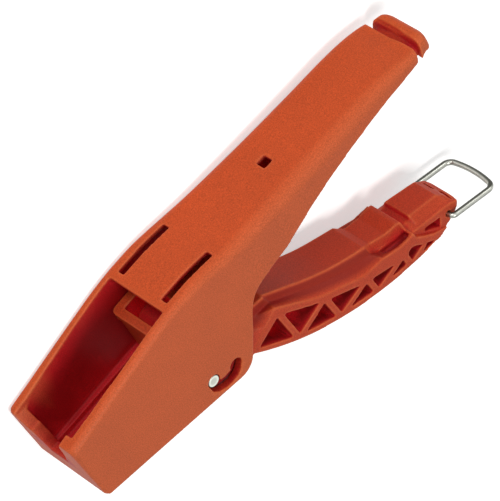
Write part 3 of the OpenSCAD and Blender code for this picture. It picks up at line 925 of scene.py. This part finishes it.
def bail_seat(settings):
    """The groove over the tip and down its sides, where the bail lies when the tool is locked."""
    d = settings.wire_diameter / 2 + SEAT_PLAY
    half, leg, _ = crown_line(settings, d)
    near = [(10, leg - d)] + half
    inside = near + [(u, -w) for u, w in reversed(near[:-1])]
    outline = inside + [(10, -WIDTH), (WIDTH, -WIDTH), (WIDTH, WIDTH), (10, WIDTH)]
    turn = Matrix.Rotation(math.radians(LEVER_CLOSED), 4, "Z")
    a = math.radians(180 - BAIL_LEAN + BAIL_CLOSED)
    side = Vector((-math.sin(a), math.cos(a), 0))
    rings = [[turn @ (bail_point(u, w, BAIL_CLOSED) + side * s) for u, w in outline] for s in (-d, d)]
    return loft("seat", rings)


def window_outline(settings):
    w = MID - settings.wall
    return [
        (WINDOW_BACK, MID - w), (TAPER_FROM, MID - w), (INNER_FRONT_X, MID - w + FRONT_TAPER),
        (INNER_FRONT_X, MID + w - FRONT_TAPER), (TAPER_FROM, MID + w), (WINDOW_BACK, MID + w),
    ]


def raise_shade_mark(mesh, name, low, high, value, slope=0.0):
    """Raises one painted-shade mark everywhere inside a box, and by up to slope more towards its high side in
    Y.
    """
    for v, mark in zip(mesh.vertices, mesh.attributes[name].data):
        if all(low[i] < v.co[i] < high[i] for i in range(3)):
            depth = (v.co.y - low[1]) / (high[1] - low[1])
            mark.value = max(mark.value, value + slope * min(1, 1.4 * depth))


class CLAMP_OT_housing(bpy.types.Operator):
    """Builds the moulded housing: its body with window, channel, slots and groove, and the hollow handle"""

    bl_idname = "clamp.housing"
    bl_label = "Housing"

    def execute(self, context):
        s = read_settings(context)
        keys = [row[0] for row in BODY_STATIONS]
        stations = eased(BODY_STATIONS, along(TIP_X, FRONT_X, 1.6, keys))
        body = loft("housing_shell", [body_ring(row, 0, 0, row[3], 10) for row in stations])
        combine(body, prism("side", side_outline(), *ACROSS), "INTERSECT")
        inner = []
        for row in eased(BODY_STATIONS, along(CAVITY_END, INNER_FRONT_X, 2.0)):
            front = max(0, row[0] - TAPER_FROM) / (INNER_FRONT_X - TAPER_FROM)
            back = min(1, max(0, -20 - row[0]) / 30)
            wall = s.wall + front * FRONT_TAPER - back * (s.wall - HANDLE_WALL)
            inner.append(body_ring(row, wall, s.roof, 1.0, 4))
        cut(body, loft("cavity", inner))
        cut(body, upright_prism("window", rounded(window_outline(s), 0.8), *WINDOW_CUT))
        for side in (-1, 1):
            wall_z = MID + side * (MID - s.wall)
            for x0, x1, y0, y1, out in RIBS:
                z0, z1 = sorted((wall_z + side, wall_z - side * out))
                add(body, block("rib", (x0, y0, z0), (x1, y1, z1)))
        across = (s.wall - 1, WIDTH - s.wall + 1)
        low, high = (BED_BACK, LOW_RIB_Y + 2.9, across[0]), (INNER_FRONT_X + 1, LOW_RIB_Y + 5.2, across[1])
        add(body, block("bed", low, high))
        low, high = (ANCHOR_X[0], ANCHOR_Y[0], across[0]), (ANCHOR_X[1], ANCHOR_Y[1], across[1])
        add(body, block("anchor", low, high))
        add(body, upright("post_neck", POST_X, MID, POST_NECK_R, ANCHOR_Y[1] - 1, SPRING_Y + 2))
        add(body, upright("post_head", POST_X, MID, POST_HEAD_R, SPRING_Y + 1.8, SPRING_Y + 3))
        cuts = []
        for side in (-1, 1):
            z = MID + side * (MID - SLOT_INSET - s.slot_width / 2)
            hole = rectangle(SLOT_END - s.slot_length, SLOT_END, z - s.slot_width / 2, z + s.slot_width / 2)
            cuts.append(upright_prism("slot", rounded(hole, 0.35), *ROOF_CUT))
        q = s.square_hole / 2
        hole = rectangle(SQUARE_X - q, SQUARE_X + q, MID - q, MID + q)
        cuts.append(upright_prism("square", rounded(hole, 0.3), *ROOF_CUT))
        cuts.append(front_prism("notch", rounded(NOTCH, 0.5), INNER_FRONT_X - 1, FRONT_X + 3))
        cut(body, merge("openings", cuts))
        for centre in ((0, 0), REAR_POCKET):
            cut(body, disc("pocket", centre, s.pin_diameter / 2 + PIN_PLAY, *ACROSS))
        cut(body, prism("pin_channel", rounded(PIN_CHANNEL, 1.2), *ACROSS))
        rings = [[(x, y, z) for x, y in arc((GROOVE_X, y0), r, 0, 350, 35)] for z, y0, r in TIP_GROOVE]
        cut(body, loft("groove", rings))
        cut(body, bail_seat(s))
        soften(body, voxel=0.42)
        mark_edges(body, reach=0.55)
        # Marks for painted shade: where walls block the view, on the faces of the front notch, more further
        # in, and on the walls of the pin's slot
        mark_occlusion_shade(body, reach=70.0)
        raise_shade_mark(body.data, "shelter", *NOTCH_FACES, value=0.2, slope=0.3)
        raise_shade_mark(body.data, "shelter", *SLOT_WALLS, value=0.48)
        place(body)
        plastic = plastic_material(s, "housing_moulding", tint=(1.0, 1.0, 1.0), rub_and_highlight=0.6, deep=1.0)
        finish_piece(body, "frame", "housing", plastic)
        return {"FINISHED"}


# ---- lever ----


def lever_ring(row, half, edge, web):
    x, side_top, web_top, narrow, narrow_web = row
    shelf = min(side_top - 0.4, web_top + WEB_STEP + edge)
    h, w = half - narrow, web / 2 - narrow_web
    flat = [
        (90, -h), (side_top, -h), (shelf, -w - edge), (web_top, -w),
        (web_top, w), (shelf, w + edge), (side_top, h), (90, h),
    ]
    return [(x, y, MID + z) for y, z in flat]


def lever_below(x):
    return LEVER_ARC_C[1] + math.sqrt(LEVER_ARC_R**2 - (x - LEVER_ARC_C[0]) ** 2)


def lever_outline():
    arch = [(x, lever_below(x)) for x in np.linspace(-23, -122, 34)]
    return [(-22, -20), (-22, 15.6)] + arch + LEVER_END + [(LEVER_END[-1][0], -20)]


def pocket_outlines(rib):
    low = [(x, lever_below(x) - 0.8) for x in TRUSS_LOW_X]
    shapes = [inset([TRUSS_TOP[0], low[1], low[0]], rib / 2)]
    shapes += [inset([TRUSS_TOP[i], TRUSS_TOP[i + 1], low[i + 1]], rib / 2) for i in range(3)]
    shapes += [inset([TRUSS_TOP[i + 1], low[i + 2], low[i + 1]], rib / 2) for i in range(3)]
    small = (ROUND_POCKET, SLIVER_POCKET, END_POCKET)
    return [rounded(t, 0.9) for t in shapes] + [rounded(t, 0.4) for t in small]


def scallop(settings, side):
    """The scooped recess in the flange beside the tooth, as the volume to cut."""
    inner, outer = settings.web_width / 2 - 1.2, settings.lever_width / 2 - 2.6
    rings = []
    for x, lift, deep in SCALLOP:
        a, b = inner + lift, outer - lift
        profile = [(30, a), (deep - 1.0, a), (deep, a + 0.3 * (b - a)), (deep + 0.2, a + 0.65 * (b - a))]
        profile += [(deep - 1.4, b), (30, b)]
        rings.append([(x, y, MID + side * z) for y, z in profile])
    return loft("scallop", rings)


def shade_flange(mesh, settings):
    """Paints shade on the lever's flange, in the hollow beside the raised web."""
    x, top = zip(*[(row[0], row[2]) for row in LEVER_STATIONS[::-1]])
    web, half = settings.web_width / 2, settings.lever_width / 2
    for v, mark in zip(mesh.vertices, mesh.attributes["hollow"].data):
        across = (abs(v.co.z - MID) - web + 0.3) / (half - web)
        below = v.co.y - np.interp(v.co.x, x, top)
        if FLANGE_X[0] < v.co.x < FLANGE_X[1] and below > FLANGE_FROM and 0 < across < FLANGE_TO:
            share = min(1, (below - FLANGE_FROM) / 1.2) * min(1, (FLANGE_TO - across) / 0.35)
            mark.value = max(mark.value, share)


class CLAMP_OT_lever(bpy.types.Operator):
    """Builds the moulded lever: trussed sides, raised web, hub, finger and end block"""

    bl_idname = "clamp.lever"
    bl_label = "Lever"

    def execute(self, context):
        s = read_settings(context)
        curved = [row for row in LEVER_STATIONS if WEB_CURVE[1] <= row[0] <= WEB_CURVE[0]]
        smooth = eased(curved, along(*WEB_CURVE, 1.5))[::-1]
        rows = [row for row in LEVER_STATIONS if row[0] > WEB_CURVE[0]] + smooth
        rows += [row for row in LEVER_STATIONS if row[0] < WEB_CURVE[1]]
        rings = [lever_ring(row, s.lever_width / 2, WEB_EDGE, s.web_width) for row in rows]
        lever = loft("lever_moulding", rings)
        rings = [lever_ring(row, s.lever_end_width / 2, END_SLOPE, s.web_width) for row in END_STATIONS]
        add(lever, loft("end_block", rings))
        combine(lever, prism("outline", lever_outline(), *ACROSS), "INTERSECT")
        add(lever, prism("core", CORE_OUTLINE, MID - CORE_HALF, MID + CORE_HALF))
        far, near = MID - s.lever_width / 2, MID + s.lever_width / 2
        add(lever, disc("hub", (0, 0), HUB_R, far, near))
        add(lever, prism("shoulder", SHOULDER, far, near))
        turn = Matrix.Rotation(math.radians(-FINGER_LEAN), 2)
        neck = [turn @ Vector(corner) for corner in rectangle(-4.6, 4.6, -FINGER_REACH, 0)]
        tip = turn @ Vector((0, -FINGER_REACH))
        add(lever, disc("finger_tip", tip, FINGER_TIP_R, MID - FINGER_TIP_HALF, MID + FINGER_TIP_HALF))
        add(lever, prism("finger", neck, MID - FINGER_HALF, MID + FINGER_HALF))
        for z0, z1 in ((MID + TRUSS_MIDDLE, WIDTH), (0, MID - TRUSS_MIDDLE)):
            pockets = [prism("pocket", outline, z0, z1) for outline in pocket_outlines(s.rib)]
            cut(lever, merge("pockets", pockets))
        bores = [disc("bore", (0, 0), s.pin_diameter / 2 + BORE_PLAY, *ACROSS)]
        middle, deep, play = STUB_HOLE
        for z in (MID - middle, MID + middle):
            bores.append(disc("stub_hole", HINGE, s.wire_diameter / 2 + play, z - deep, z + deep, 32))
        bores += [block("end_slot", low, high) for low, high in END_SLOTS]
        cut(lever, merge("bores", bores))
        for side in (-1, 1):
            cut(lever, scallop(s, side))
        soften(lever, voxel=0.4)
        mark_edges(lever, reach=0.55)
        # Marks for painted shade: where the lever's own walls or the housing block the view, in the flange
        # beside the web, and on the sides of the hub behind the housing's walls
        mark_occlusion_shade(lever, reach=30.0, around="housing_shell")
        shade_flange(lever.data, s)
        raise_shade_mark(lever.data, "hollow", *HUB_SIDES, value=1.0)
        place(lever)
        # The lever is the same plastic as the housing: its darker, redder tint and fading tint are painted
        # shade, as the housing shades it, and its stronger edge wear is partly a painted highlight on the
        # truss ribs
        plastic = plastic_material(
            s, "lever_moulding", tint=(0.96, 0.56, 0.7), rub_and_highlight=0.85, deep=1.2, fade_and_sheen=(0.92, 0.55, 0.6)
        )
        finish_piece(lever, "lever", "lever", plastic)
        return {"FINISHED"}


# ---- jaw ----


class CLAMP_OT_jaw(bpy.types.Operator):
    """Builds the sliding jaw: a frame with a hole, the pressing plate below it and the spring's stud"""

    bl_idname = "clamp.jaw"
    bl_label = "Sliding jaw"

    def execute(self, context):
        s = read_settings(context)
        front, top, low, deck, lip = 8.2, -38.5, LOW_RIB_Y - 0.3, 4.5, 1.2
        half = MID - s.wall - 0.5
        inner = half - s.jaw_wall
        back = front - s.jaw_length
        jaw = block("sliding_jaw_moulding", (back, top, MID - half), (front, top + deck, MID + half))
        add(jaw, block("plate", (back, top + deck - 1, MID - half), (front - lip, low, MID + half)))
        for start, z, width in ((-20, MID - 3, 6), (-40, MID - half + 1, 9.8), (-40, MID + half - 10.8, 9.8)):
            add(jaw, block("runner", (start, SPRING_Y + 2, z), (back + 1, SPRING_Y + 4.4, z + width)))
        add(jaw, upright("stud", STUD_X, MID, 1.4, SPRING_Y - 2, SPRING_Y + 2.5))
        hole_front = front - s.jaw_wall
        hole = rectangle(hole_front - 14.2, hole_front, MID - inner, MID + inner)
        cut(jaw, upright_prism("hole", rounded(hole, 0.6), top - 1, low + 1))
        cut(jaw, block("rear", (back - 10, -17.5, MID - inner), (back + 10, 3, MID + inner)))
        r = 3.0
        for z, turn in ((MID - half, 1), (MID + half, -1)):
            curve = [(x, z + turn * (q - z)) for x, q in arc((front - r, z + r), r, 0, -90, 10)]
            corner = curve + [(front - r, z - turn), (front + 1, z - turn), (front + 1, z + turn * r)]
            cut(jaw, upright_prism("corner", corner, top - 1, low + 1))
        soften(jaw, voxel=0.3)
        mark_edges(jaw, reach=0.7)
        # Painted shade where the jaw's own walls block the view; its material scales the colour of that shade
        # strongly
        mark_occlusion_shade(jaw, reach=40.0)
        place(jaw)
        plastic = plastic_material(s, "jaw_moulding", tint=(0.92, 0.74, 0.9), rub_and_highlight=0.6, deep=2.2)
        finish_piece(jaw, "jaw", "sliding_jaw", plastic)
        return {"FINISHED"}


# ---- steel parts ----


class CLAMP_OT_pin(bpy.types.Operator):
    """Builds the steel pin: a turned bar with a bevelled, slightly dished end at each side"""

    bl_idname = "clamp.pin"
    bl_label = "Pivot pin"

    def execute(self, context):
        s = read_settings(context)
        r = s.pin_diameter / 2
        z0, z1 = 0.42, WIDTH - 0.42
        dish = 0.16
        profile = [(r * 0.45, 0.14), (r * 0.62, 0.04), (r * 0.7, 0.0), (r - 0.42, 0.0), (r - 0.16, 0.09)]
        profile += [(r - 0.04, 0.26), (r, 0.5), (r, 2.0), (r, 6.0)]
        steps = 72
        side = [(q, z0 + d) for q, d in profile] + [(q, z1 - d) for q, d in reversed(profile)]
        rings = [[(x, y, z) for x, y in arc((0, 0), q, 0, 360 - 360 / steps, steps - 1)] for q, z in side]
        points = [(0, 0, z0 + dish)] + [p for ring in rings for p in ring] + [(0, 0, z1 - dish)]
        faces = [(0, 1 + (i + 1) % steps, 1 + i) for i in range(steps)]
        for j in range(len(rings) - 1):
            for i in range(steps):
                k = (i + 1) % steps
                low, high = 1 + j * steps, 1 + (j + 1) * steps
                faces.append((low + i, low + k, high + k, high + i))
        last = 1 + (len(rings) - 1) * steps
        faces += [(len(points) - 1, last + i, last + (i + 1) % steps) for i in range(steps)]
        pin = new_solid("pivot_pin_bar", points, faces)
        # A brighter ring on each end face and a darker rim, by distance from the axis
        reach = np.array([math.hypot(v.co.x, v.co.y) / r for v in pin.data.vertices])
        set_mark(pin.data, "drawn", np.interp(reach, PIN_STEPS, PIN_BANDS))
        place(pin)
        steel = steel_material(s, "turned_steel", polish=0.3, film=0.8, bright=PIN_BRIGHT)
        finish_piece(pin, "lever", "pivot_pin", steel)
        return {"FINISHED"}


def wire_tree():
    """Geometry nodes that sweep a round wire along a line of edges, and close its ends."""
    if "wire_along_path" in bpy.data.node_groups:
        return bpy.data.node_groups["wire_along_path"]
    tree = bpy.data.node_groups.new("wire_along_path", "GeometryNodeTree")
    face = tree.interface
    face.new_socket("Geometry", in_out="INPUT", socket_type="NodeSocketGeometry")
    radius = face.new_socket("Wire radius", in_out="INPUT", socket_type="NodeSocketFloat")
    radius.default_value = 1.0
    sides = face.new_socket("Sides", in_out="INPUT", socket_type="NodeSocketInt")
    sides.default_value = 24
    face.new_socket("Finish", in_out="INPUT", socket_type="NodeSocketMaterial")
    face.new_socket("Geometry", in_out="OUTPUT", socket_type="NodeSocketGeometry")
    given, made = tree.nodes.new("NodeGroupInput"), tree.nodes.new("NodeGroupOutput")
    curve = tree.nodes.new("GeometryNodeMeshToCurve")
    circle = tree.nodes.new("GeometryNodeCurvePrimitiveCircle")
    sweep = tree.nodes.new("GeometryNodeCurveToMesh")
    sweep.inputs["Fill Caps"].default_value = True
    real = tree.nodes.new("GeometryNodeRealizeInstances")
    coat = tree.nodes.new("GeometryNodeSetMaterial")
    join = tree.links.new
    join(given.outputs["Geometry"], curve.inputs["Mesh"])
    join(given.outputs["Wire radius"], circle.inputs["Radius"])
    join(given.outputs["Sides"], circle.inputs["Resolution"])
    join(curve.outputs["Curve"], sweep.inputs["Curve"])
    join(circle.outputs["Curve"], sweep.inputs["Profile Curve"])
    join(sweep.outputs["Mesh"], real.inputs["Geometry"])
    join(real.outputs["Geometry"], coat.inputs["Geometry"])
    join(given.outputs["Finish"], coat.inputs["Material"])
    join(coat.outputs["Geometry"], made.inputs["Geometry"])
    return tree


def sweep_wire(name, path, radius, sides, material):
    """A wire as a plain mesh, swept along the path by geometry nodes."""
    mesh = bpy.data.meshes.new(name)
    mesh.from_pydata([tuple(p) for p in path], [(i, i + 1) for i in range(len(path) - 1)], [])
    obj = new_object(name, mesh)
    modifier = obj.modifiers.new("wire", "NODES")
    tree = wire_tree()
    modifier.node_group = tree
    keys = {item.name: item.identifier for item in tree.interface.items_tree if item.in_out == "INPUT"}
    modifier[keys["Wire radius"]] = radius
    modifier[keys["Sides"]] = sides
    modifier[keys["Finish"]] = material
    settle(obj)
    face_outwards(obj.data, 1e-5)
    if not obj.data.polygons:
        raise RuntimeError(f"{name} came out empty")
    return obj


class CLAMP_OT_bail(bpy.types.Operator):
    """Builds the wire bail: stubs in the lever, legs, round corners and an arched crown"""

    bl_idname = "clamp.bail"
    bl_label = "Bail"

    def execute(self, context):
        s = read_settings(context)
        half, leg, corner_u = crown_line(s, 0)
        stub = leg - STUB_BEND
        near = [(0, w) for w in np.linspace(STUB_IN, stub - 0.8, 4)]
        near += arc((STUB_BEND, stub), STUB_BEND, 176, 90, 10)
        near += [(u, leg) for u in np.linspace(STUB_BEND + 1.5, corner_u - 1.5, 6)] + half
        path = near + [(u, -w) for u, w in reversed(near[:-1])]
        steel = steel_material(s, "bright_wire", polish=0.22, film=0.95)
        bail = sweep_wire("bail_wire", [bail_point(u, w, 0) for u, w in path], s.wire_diameter / 2, 28, steel)
        # Painted reflections: a dark band where the wire faces one way, bright bands beside it
        lines = np.array([v.vector.dot(DARK_REFLECTION_SIDE) for v in bail.data.vertex_normals])
        set_mark(bail.data, "drawn", np.interp(lines, REFLECTION_STEPS, REFLECTION_BANDS))
        place(bail)
        finish_piece(bail, "bail", "bail", steel)
        return {"FINISHED"}


class CLAMP_OT_spring(bpy.types.Operator):
    """Builds the return spring: a close coil with one hook on the jaw's stud and one on the handle's post"""

    bl_idname = "clamp.spring"
    bl_label = "Return spring"

    def execute(self, context):
        s = read_settings(context)
        front, back, r = COIL_FRONT, COIL_BACK, s.coil_diameter / 2
        count = s.coil_turns * 24
        path = [(x, 0, z) for x, z in arc((STUD_X, 0), HOOK_R, 220, 500, 14)] + [(front + HOOK_R, 0, 0)]
        for i in range(count + 1):
            k, t = min(1, i / 12, (count - i) / 12), math.radians(i * 15)
            path.append((front + (back - front) * i / count, k * r * math.cos(t), k * r * math.sin(t)))
        path += [(back - HOOK_R, 0, 0)] + [(x, 0, z) for x, z in arc((POST_X, 0), HOOK_R, 40, 320, 14)]
        steel = steel_material(s, "spring_wire", polish=0.3, film=0.5)
        points = [(x, SPRING_Y + y, MID + z) for x, y, z in path]
        spring = sweep_wire("return_spring_wire", points, s.spring_wire / 2, 14, steel)
        place(spring)
        finish_piece(spring, "", "return_spring", steel)
        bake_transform(spring)
        return {"FINISHED"}


# ---- stage ----


def add_area(name, towards, power):
    """A square soft light that shines on the target from the given direction."""
    data = bpy.data.lights.new(name, "AREA")
    data.shape = "SQUARE"
    data.size = LIGHT_SIZE
    data.energy = power
    data.color = LIGHT_COLOUR
    obj = new_object(name, data)
    direction = Vector(towards).normalized()
    obj.location = Vector(LIGHT_TARGET) + direction * LIGHT_DISTANCE
    obj.rotation_mode = "QUATERNION"
    obj.rotation_quaternion = direction.to_track_quat("Z", "Y")


def add_camera():
    """The camera, turned so that its right and up directions are the given ones."""
    data = bpy.data.cameras.new("camera")
    data.lens = CAMERA_LENS
    data.sensor_width = 36.0
    data.clip_start, data.clip_end = 0.05, 50.0
    back = CAMERA_RIGHT.cross(CAMERA_UP).normalized()
    up = back.cross(CAMERA_RIGHT).normalized()
    turn = Matrix((CAMERA_RIGHT.normalized(), up, back)).transposed()
    camera = new_object("camera", data)
    camera.matrix_world = Matrix.Translation((CAMERA_AT + PIVOT) * MM) @ turn.to_4x4()
    bpy.context.scene.camera = camera


def floor_material(colour):
    """A pale floor that reads as white to the camera and in reflections, and still takes a shadow."""
    material = bpy.data.materials.new("floor_pale")
    material.use_nodes = True
    tree = material.node_tree
    shader = tree.nodes["Principled BSDF"]
    shader.inputs["Base Color"].default_value = (*colour, 1)
    shader.inputs["Roughness"].default_value = 0.9
    shader.inputs["Specular IOR Level"].default_value = 0.0
    path = tree.nodes.new("ShaderNodeLightPath")
    seen = link_math(tree, "ADD", path.outputs["Is Camera Ray"], path.outputs["Is Glossy Ray"], True)
    glow = tree.nodes.new("ShaderNodeEmission")
    glow.inputs["Color"].default_value = (1, 1, 1, 1)
    tree.links.new(link_math(tree, "MULTIPLY", seen, 0.5), glow.inputs["Strength"])
    both = tree.nodes.new("ShaderNodeAddShader")
    tree.links.new(shader.outputs["BSDF"], both.inputs[0])
    tree.links.new(glow.outputs["Emission"], both.inputs[1])
    tree.links.new(both.outputs["Shader"], tree.nodes["Material Output"].inputs["Surface"])
    return material


def set_world():
    world = bpy.data.worlds.new("studio")
    bpy.context.scene.world = world
    world.use_nodes = True
    tree = world.node_tree
    path = tree.nodes.new("ShaderNodeLightPath")
    seen = link_math(tree, "ADD", path.outputs["Is Camera Ray"], path.outputs["Is Transmission Ray"], True)
    seen = link_math(tree, "ADD", seen, path.outputs["Is Glossy Ray"], True)
    background = tree.nodes["Background"]
    background.inputs["Color"].default_value = (1, 1, 1, 1)
    tree.links.new(link_range(tree, seen, 0.0, 1.0, 0.2, 1.0), background.inputs["Strength"])


class CLAMP_OT_stage(bpy.types.Operator):
    """Sets up the pale floor, the soft studio light and the camera"""

    bl_idname = "clamp.stage"
    bl_label = "Stage"

    def execute(self, context):
        s = read_settings(context)
        context.scene.view_settings.view_transform = "Standard"
        mesh = bpy.data.meshes.new("floor")
        corners = rectangle(-FLOOR_HALF, FLOOR_HALF, -FLOOR_HALF, FLOOR_HALF)
        mesh.from_pydata([(x, y, 0) for x, y in corners], [], [(0, 1, 2, 3)])
        floor = new_object("floor", mesh)
        floor.location.z = -FLOOR_DROP
        mesh.materials.append(floor_material(s.floor))
        set_world()
        for light in LIGHTS:
            add_area(*light)
        add_camera()
        return {"FINISHED"}


# ---- panel and registration ----

OPERATORS = (
    CLAMP_OT_stage,
    CLAMP_OT_housing,
    CLAMP_OT_lever,
    CLAMP_OT_jaw,
    CLAMP_OT_pin,
    CLAMP_OT_spring,
    CLAMP_OT_bail,
)


class CLAMP_PT_panel(bpy.types.Panel):
    """Lists the clamp's pieces and its settings"""

    bl_label = "Hand clamp"
    bl_idname = "CLAMP_PT_panel"
    bl_space_type = "VIEW_3D"
    bl_region_type = "UI"
    bl_category = "Clamp"

    def draw(self, context):
        column = self.layout.column(align=True)
        for operator in OPERATORS:
            column.operator(operator.bl_idname)
        settings = context.scene.hand_clamp
        for name in ClampSettings.__annotations__:
            column.prop(settings, name)


CLASSES = (ClampSettings, *OPERATORS, CLAMP_PT_panel)


def register():
    for cls in CLASSES:
        bpy.utils.register_class(cls)
    bpy.types.Scene.hand_clamp = PointerProperty(type=ClampSettings)


def unregister():
    del bpy.types.Scene.hand_clamp
    for cls in reversed(CLASSES):
        bpy.utils.unregister_class(cls)


def main():
    register()
    for operator in OPERATORS:
        module, name = operator.bl_idname.split(".")
        getattr(getattr(bpy.ops, module), name)()


if __name__ == "__main__":
    main()
